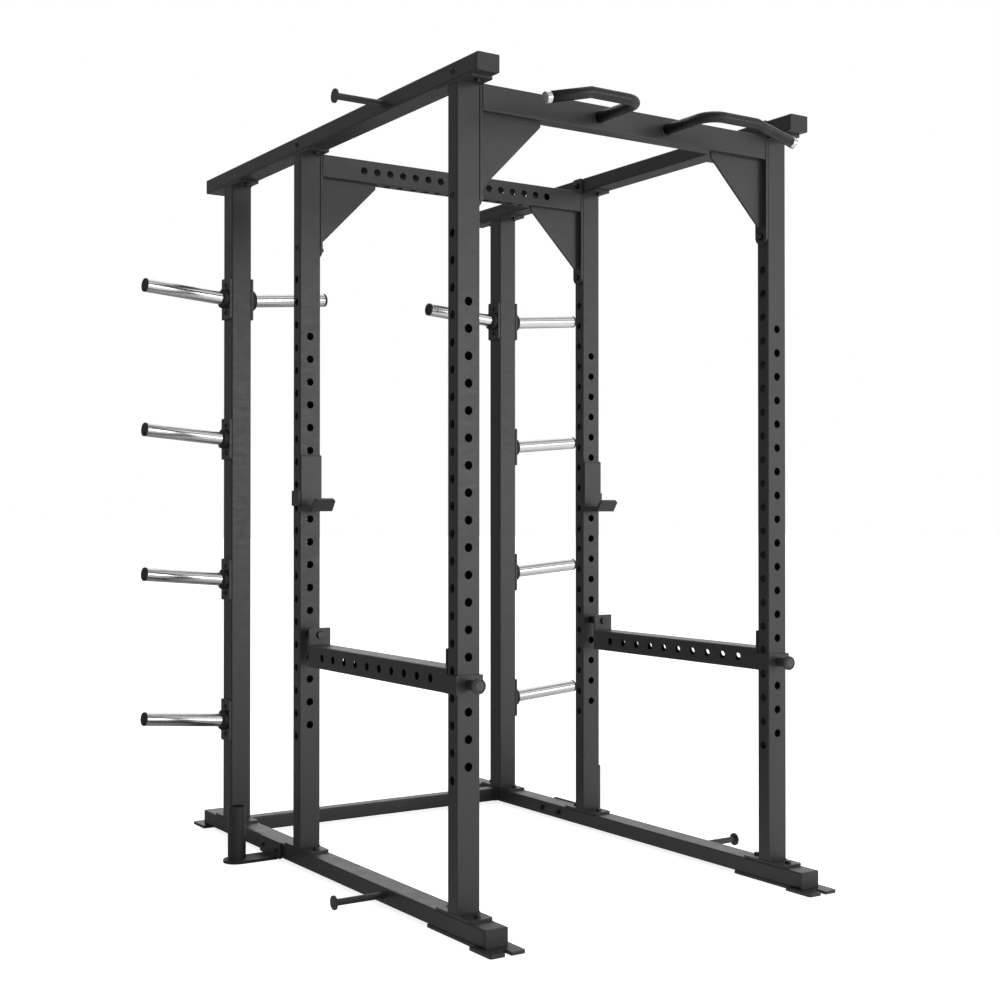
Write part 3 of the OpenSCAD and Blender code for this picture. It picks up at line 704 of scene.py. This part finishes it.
class CAGE_OT_dress_horns(bpy.types.Operator):
    """Finishes the plate horns: plates, stop collars, chrome sleeves and caps"""

    bl_idname = "cage.dress_horns"
    bl_label = "Dress the plate horns"

    def execute(self, context):
        _, detail, _ = settings()
        coat_node("horn_plates", "coat", detail.edge_round)
        self.turn_sleeves()
        coat_node("horn_collars", "rubber", 0.8 * MM)
        coat_node("horn_end_caps", "rubber", 0.9 * MM)
        return {"FINISHED"}

    def turn_sleeves(self):
        """Turns the chrome sleeves of all the horns in one mesh, from collar to cap."""
        bm = bmesh.new()
        for mount in frame["record"]["mounts"]:
            if not mount["name"].startswith("horn_"):
                continue
            radius = mount["dims"]["r_mm"] * MM
            length = mount["dims"]["length_mm"] * MM + 2 * SLEEVE_MARGIN
            neck = radius - SLEEVE_NECK
            profile = (
                (neck - 3 * MM, -12 * MM), (neck, -12 * MM), (neck, 0.0),
                (radius - 0.4 * MM, 0.0), (radius, 0.4 * MM), (radius, 1.5 * MM),
                (radius, length - 1.5 * MM), (radius, length - 0.4 * MM),
                (radius - 0.4 * MM, length), (neck - 3 * MM, length),
            )
            along = Vector(mount["axis"])
            place = Matrix.Translation(Vector(mount["pos_m"]) - along * (length / 2))
            place @= along.to_track_quat("Z", "Y").to_matrix().to_4x4()
            turned(bm, profile, SLEEVE_SEGMENTS, place)
        bmesh.ops.recalc_face_normals(bm, faces=bm.faces)
        mesh = bpy.data.meshes.new("horn_chrome_sleeves")
        bm.to_mesh(mesh)
        bm.free()
        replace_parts(piece("horn_chrome_sleeves", mesh, "chrome", "frame"),
                    "horn_sleeves")


class CAGE_OT_dress_holders(bpy.types.Operator):
    """Powder-coats the upright bar holders and the band pegs"""

    bl_idname = "cage.dress_holders"
    bl_label = "Dress the bar holders and pegs"

    def execute(self, context):
        _, detail, _ = settings()
        coat_node("bar_holder_brackets", "coat", detail.edge_round)
        for side in SIDES:
            coat_node(f"bar_holder_tube_{side}", "coat", detail.edge_round / 2)
        coat_node("band_pegs", "coat", detail.edge_round)
        return {"FINISHED"}


class CAGE_OT_dress_jcups(bpy.types.Operator):
    """Finishes the J-cups, their liners and pins"""

    bl_idname = "cage.dress_jcups"
    bl_label = "Dress the J-cups"

    def execute(self, context):
        _, detail, _ = settings()
        for side in SIDES:
            coat_node(f"jcup_{side}", "coat", detail.edge_round)
            coat_node(f"jcup_liner_{side}", "liner", 1.0 * MM)
            coat_node(f"jcup_pin_{side}", "bolt", 0.5 * MM)
        return {"FINISHED"}


class CAGE_OT_dress_safety_bars(bpy.types.Operator):
    """Powder-coats the safety bars and their collars, and finishes the hook pins"""

    bl_idname = "cage.dress_safety_bars"
    bl_label = "Dress the safety bars"

    def execute(self, context):
        _, detail, _ = settings()
        for side in SIDES:
            coat_node(f"safety_bar_{side}", "coat", detail.edge_round)
            coat_node(f"safety_collar_{side}", "coat", detail.edge_round)
        coat_node("safety_rear_plates", "coat", detail.edge_round)
        coat_node("safety_hook_pins", "bolt", detail.bolt_round)
        return {"FINISHED"}


class CAGE_OT_dress_pull_pins(bpy.types.Operator):
    """Finishes the pull pins and moulds their grooved knobs"""

    bl_idname = "cage.dress_pull_pins"
    bl_label = "Dress the pull pins"

    def execute(self, context):
        _, detail, _ = settings()
        lobes = detail.knob_lobes

        def grooves(angle, radius, height):
            depth = 0.030 if radius > 20.5 * MM else 0.0
            return 1.0 - depth * (0.5 - 0.5 * math.cos(lobes * angle)) ** 3

        for side in SIDES:
            coat_node(f"pull_pin_barrel_{side}", "coat", detail.edge_round)
            coat_node(f"pull_pin_plunger_{side}", "bolt", 0.4 * MM)
            coat_node(f"pull_pin_spring_{side}", "spring", 0)
            node = f"pull_pin_knob_{side}"
            low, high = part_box(node)
            centre = (low + high) / 2
            place = Matrix.Translation((centre.x, high.y, centre.z))
            place @= Matrix.Rotation(math.radians(90), 4, "X")
            r, h = (high.x - low.x) / 2, high.y - low.y
            profile = [
                (6.0 * MM, 0.0), (15.4 * MM, 0.0), (16.2 * MM, 0.4 * MM),
                (r - 3.0 * MM, 2.6 * MM), (r - 1.2 * MM, 3.6 * MM), (r - 0.3 * MM, 4.6 * MM),
                (r, 5.6 * MM), (r, h - 4.2 * MM), (r - 0.25 * MM, h - 2.8 * MM),
                (r - 0.9 * MM, h - 1.5 * MM), (r - 2.0 * MM, h - 0.5 * MM),
                (r - 3.0 * MM, h), (r - 4.1 * MM, h - 0.2 * MM),
                (r - 4.6 * MM, h - 3.6 * MM), (r - 6.6 * MM, h - 3.6 * MM),
                (r - 7.0 * MM, h - 0.5 * MM), (r - 7.6 * MM, h - 0.1 * MM),
                (8.0 * MM, h), (3.0 * MM, h),
            ]
            bm = bmesh.new()
            turned(bm, profile, 8 * lobes, place, grooves)
            bmesh.ops.recalc_face_normals(bm, faces=bm.faces)
            mesh = bpy.data.meshes.new(f"pull_knob_{side}")
            bm.to_mesh(mesh)
            bm.free()
            knob = piece(f"pull_knob_{side}", mesh, "knob",
                         f"pull_pin_{side}")
            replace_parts(knob, node)
        return {"FINISHED"}


class CAGE_OT_fasten_bolts(bpy.types.Operator):
    """Finishes the bolts and nuts in black oxide"""

    bl_idname = "cage.fasten_bolts"
    bl_label = "Fasten the bolts"

    def execute(self, context):
        _, detail, _ = settings()
        for name in BOLTS:
            coat_node(name, "bolt", detail.bolt_round)
        return {"FINISHED"}


def area_light(name, place, target, size, power):
    """Soft square light that faces a point."""
    data = bpy.data.lights.new(name, "AREA")
    data.shape = "SQUARE"
    data.size = size
    data.energy = power
    obj = bpy.data.objects.new(name, data)
    bpy.context.scene.collection.objects.link(obj)
    obj.location = place
    direction = Vector(target) - Vector(place)
    obj.rotation_mode = "QUATERNION"
    obj.rotation_quaternion = direction.to_track_quat("-Z", "Y")


def studio_world():
    """White to the eye, lit by direction: a low wall and a high one in front, a bright
    ceiling and back, and a dim wall on the left."""
    world = bpy.data.worlds.new("studio")
    bpy.context.scene.world = world
    world.use_nodes = True
    tree = world.node_tree
    tree.nodes.clear()
    new, link = tree.nodes.new, tree.links.new

    def ramp(value, low, high, start=0.0, end=1.0):
        made = new("ShaderNodeMapRange")
        made.interpolation_type = "SMOOTHSTEP"
        for key, number in (("From Min", low), ("From Max", high),
                            ("To Min", start), ("To Max", end)):
            made.inputs[key].default_value = number
        link(value, made.inputs["Value"])
        return made.outputs["Result"]

    def joined(operation, first, second):
        made = new("ShaderNodeMath")
        made.operation = operation
        for socket, value in zip(made.inputs, (first, second)):
            if isinstance(value, float):
                socket.default_value = value
            else:
                link(value, socket)
        return made.outputs[0]

    where, parts = new("ShaderNodeTexCoord"), new("ShaderNodeSeparateXYZ")
    link(where.outputs["Generated"], parts.inputs[0])
    x, y, z = parts.outputs
    ahead, behind = ramp(y, -0.10, 0.25, 1.0, 0.0), ramp(y, -0.10, 0.25)
    right = ramp(x, -0.45, 0.20)
    low_wall = joined("MULTIPLY", ramp(z, -0.30, 0.05), ramp(z, 0.16, 0.42, 1.0, 0.0))
    high_wall = joined("MULTIPLY", ramp(z, 0.34, 0.60), ramp(z, 0.70, 0.75, 1.0, 0.0))
    ceiling = joined("MAXIMUM", joined("MULTIPLY", behind, ramp(z, -0.05, 0.10)),
                     ramp(z, 0.94, 0.97))
    left_wall = joined("MULTIPLY", ramp(x, -0.60, -0.25, 1.0, 0.0), ramp(z, -0.15, 0.35))
    walls = (
        (joined("MULTIPLY", ahead, low_wall), LOW_WALL),
        (joined("MULTIPLY", ahead, high_wall), HIGH_WALL),
        (ceiling, CEILING),
    )
    total = None
    for wall, level in walls:
        lit = joined("MULTIPLY", wall, level)
        total = lit if total is None else joined("ADD", total, lit)
    total = joined("MULTIPLY", total, right)
    total = joined("ADD", total, joined("MULTIPLY", left_wall, LEFT_WALL))
    total = joined("ADD", total, SURROUND)
    out = new("ShaderNodeOutputWorld")
    shown, lighting = new("ShaderNodeBackground"), new("ShaderNodeBackground")
    shown.inputs["Color"].default_value = (1, 1, 1, 1)
    lighting.inputs["Color"].default_value = (1, 1, 1, 1)
    link(total, lighting.inputs["Strength"])
    ray, mix = new("ShaderNodeLightPath"), new("ShaderNodeMixShader")
    link(ray.outputs["Is Camera Ray"], mix.inputs["Fac"])
    link(lighting.outputs[0], mix.inputs[1])
    link(shown.outputs[0], mix.inputs[2])
    link(mix.outputs[0], out.inputs["Surface"])


def studio_floor(size):
    """Pale seamless floor; the light that it throws up is stronger towards the front right."""
    bm = bmesh.new()
    bmesh.ops.create_grid(bm, x_segments=1, y_segments=1, size=size / 2)
    mesh = bpy.data.meshes.new("studio_floor")
    bm.to_mesh(mesh)
    bm.free()
    obj = bpy.data.objects.new("studio_floor", mesh)
    bpy.context.scene.collection.objects.link(obj)
    obj.location.z = CAD_BOX[0].z - 0.2 * MM
    s = Surface("pale_floor")
    tone = s.spread(s.noise(0.6, 2.0), 0.2, 0.8)
    s.colour(s.mixed(tone, (0.86, 0.86, 0.86), (0.90, 0.90, 0.90)))
    s.fixed(Roughness=0.9, Specular_IOR_Level=0.1,
            Emission_Color=(1, 1, 1, 1), Emission_Strength=FLOOR_WHITE)
    bounce = s.node("ShaderNodeBsdfDiffuse")
    across = s.node("ShaderNodeVectorMath", operation="DOT_PRODUCT")
    across.inputs[1].default_value = (0.6, -0.8, 0.0)
    s.link(s.coords, across.inputs[0])
    nearness = s.spread(across.outputs["Value"], -0.9, 1.6)
    s.link(s.mixed(nearness, FLOOR_DIM, FLOOR_BRIGHT), bounce.inputs["Color"])
    ray, mix = s.node("ShaderNodeLightPath"), s.node("ShaderNodeMixShader")
    s.link(ray.outputs["Is Camera Ray"], mix.inputs["Fac"])
    glow, both = s.node("ShaderNodeEmission"), s.node("ShaderNodeAddShader")
    s.link(s.spread(nearness, 0.0, 1.0, 0.0, FLOOR_GLOW), glow.inputs["Strength"])
    s.link(bounce.outputs[0], both.inputs[0])
    s.link(glow.outputs[0], both.inputs[1])
    s.link(both.outputs[0], mix.inputs[1])
    s.link(s.shader.outputs[0], mix.inputs[2])
    s.link(mix.outputs[0], s.tree.nodes["Material Output"].inputs["Surface"])
    mesh.materials.append(s.material)


class CAGE_OT_set_stage(bpy.types.Operator):
    """Sets the floor, the studio lights and the camera"""

    bl_idname = "cage.set_stage"
    bl_label = "Set the stage"

    def execute(self, context):
        _, _, stage = settings()
        scene = context.scene
        scene.view_settings.view_transform = "Standard"
        studio_world()
        studio_floor(stage.floor_size)
        area_light("top_softbox", (2.0, -2.0, 13.0), (0.0, 0.0, 1.2), 11.0,
                   stage.top_power)
        area_light("key_softbox", (6.6, -13.6, 1.2), (0.0, 0.0, 1.2), 6.5,
                   stage.key_power)
        data = bpy.data.cameras.new("studio_camera")
        data.lens = stage.lens
        data.sensor_width = 36.0
        data.clip_end = 200.0
        camera = bpy.data.objects.new("studio_camera", data)
        scene.collection.objects.link(camera)
        camera.location = stage.camera_place
        camera.rotation_euler = (
            math.radians(90) + stage.camera_tilt, 0.0, -stage.camera_turn)
        scene.camera = camera
        return {"FINISHED"}


OPERATORS = (
    CAGE_OT_coat_tubes, CAGE_OT_coat_plates, CAGE_OT_weld_seams, CAGE_OT_fit_end_caps,
    CAGE_OT_dress_handles, CAGE_OT_dress_horns, CAGE_OT_dress_holders,
    CAGE_OT_dress_jcups, CAGE_OT_dress_safety_bars, CAGE_OT_dress_pull_pins,
    CAGE_OT_fasten_bolts, CAGE_OT_set_stage,
)


class CAGE_PT_panel(bpy.types.Panel):
    """Lists the steps that dress the power cage"""

    bl_idname = "CAGE_PT_panel"
    bl_label = "Power cage"
    bl_space_type = "VIEW_3D"
    bl_region_type = "UI"
    bl_category = "Cage"

    def draw(self, context):
        layout = self.layout
        for operator in OPERATORS:
            layout.operator(operator.bl_idname)
        for group in settings():
            box = layout.box()
            for key in group.__annotations__:
                box.prop(group, key)


GROUPS = (
    (CageFinish, "cage_finish"), (CageDetail, "cage_detail"), (CageStage, "cage_stage"),
)


def register():
    for group, name in GROUPS:
        bpy.utils.register_class(group)
        setattr(bpy.types.Scene, name, bpy.props.PointerProperty(type=group))
    for operator in OPERATORS:
        bpy.utils.register_class(operator)
    bpy.utils.register_class(CAGE_PT_panel)


def unregister():
    bpy.utils.unregister_class(CAGE_PT_panel)
    for operator in reversed(OPERATORS):
        bpy.utils.unregister_class(operator)
    for group, name in reversed(GROUPS):
        delattr(bpy.types.Scene, name)
        bpy.utils.unregister_class(group)


def main():
    register()
    for operator in OPERATORS:
        group, name = operator.bl_idname.split(".")
        if getattr(getattr(bpy.ops, group), name)() != {"FINISHED"}:
            raise RuntimeError(f"{operator.bl_label} did not finish")


if __name__ == "__main__":
    main()
